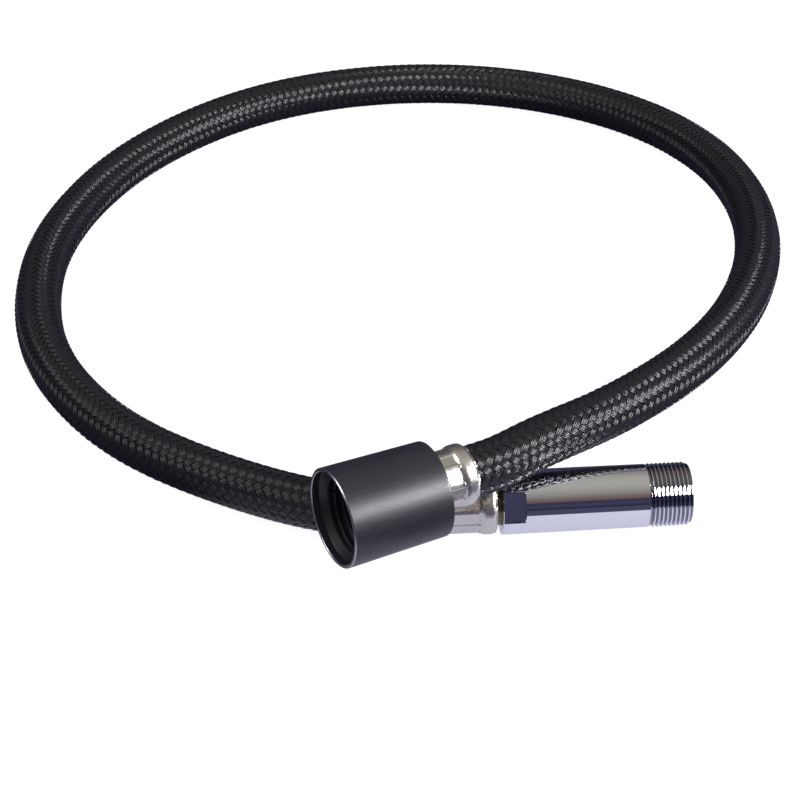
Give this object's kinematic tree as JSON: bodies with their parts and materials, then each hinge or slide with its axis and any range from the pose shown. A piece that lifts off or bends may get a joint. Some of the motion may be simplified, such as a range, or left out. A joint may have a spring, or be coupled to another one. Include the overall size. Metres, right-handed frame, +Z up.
{
  "type": "braided hose",
  "caption": "Black braided water hose lying in one loop, with a loose collar nut on one crimped end and a chromed swivel fitting with a male pipe thread on the other.",
  "frame": {"origin": "on the floor that the hose lies on, below the middle of the box round the two metal ends", "axes": "+X along the inlet fitting, out of its threaded end; +Z up from the floor; +Y into the hose's loop"},
  "size_m": [0.2112, 0.2687, 0.0324],
  "materials": {
    "braid": "glossy woven nylon",
    "tube": "smooth",
    "ferrule": "bright crimped nickel plate",
    "insert": "machined",
    "seal": "matt",
    "wire": "bright",
    "nylon": "smooth",
    "collar": "satin black",
    "chrome": "mirror"
  },
  "bodies": {
    "hose": {"braid_sleeve": "braid", "inner_tube": "tube", "outlet_ferrule": "ferrule", "outlet_nipple": "insert", "face_seal": "seal", "filter_rim": "seal", "filter_screen": "wire", "inlet_ferrule": "ferrule", "inlet_nipple": "insert", "swivel_washer": "nylon", "front_swivel_seal": "seal", "rear_swivel_seal": "seal", "swivel_clip": "wire"},
    "washer": {"slip_washer": "nylon"},
    "collar": {"collar": "collar"},
    "inlet_fitting": {"inlet_body": "chrome", "valve_cage": "nylon", "cage_seal": "seal", "cage_clip": "wire", "valve_spring": "wire", "strainer_rim": "seal", "strainer_screen": "wire"},
    "poppet": {"valve_poppet": "nylon", "poppet_seal": "seal"}
  },
  "joints": [
    {"name": "collar_slide", "type": "slide", "parent": "hose", "child": "washer", "axis": [0.9239, 0.3827, 0], "range_m": [0, 0.0012]},
    {"name": "collar_spin", "type": "hinge", "parent": "washer", "child": "collar", "pos_m": [-0.0403, -0.0088, 0.02075], "axis": [-0.9239, -0.3827, 0], "continuous": true},
    {"name": "inlet_swivel", "type": "hinge", "parent": "hose", "child": "inlet_fitting", "pos_m": [0, 0.0125, 0.0075], "axis": [1, 0, 0], "continuous": true},
    {"name": "poppet_lift", "type": "slide", "parent": "inlet_fitting", "child": "poppet", "axis": [-1, 0, 0], "range_m": [0, 0.0018], "stiffness_N_per_m": 80, "springref_m": -0.0025, "deforming": ["valve_spring"]}
  ]
}
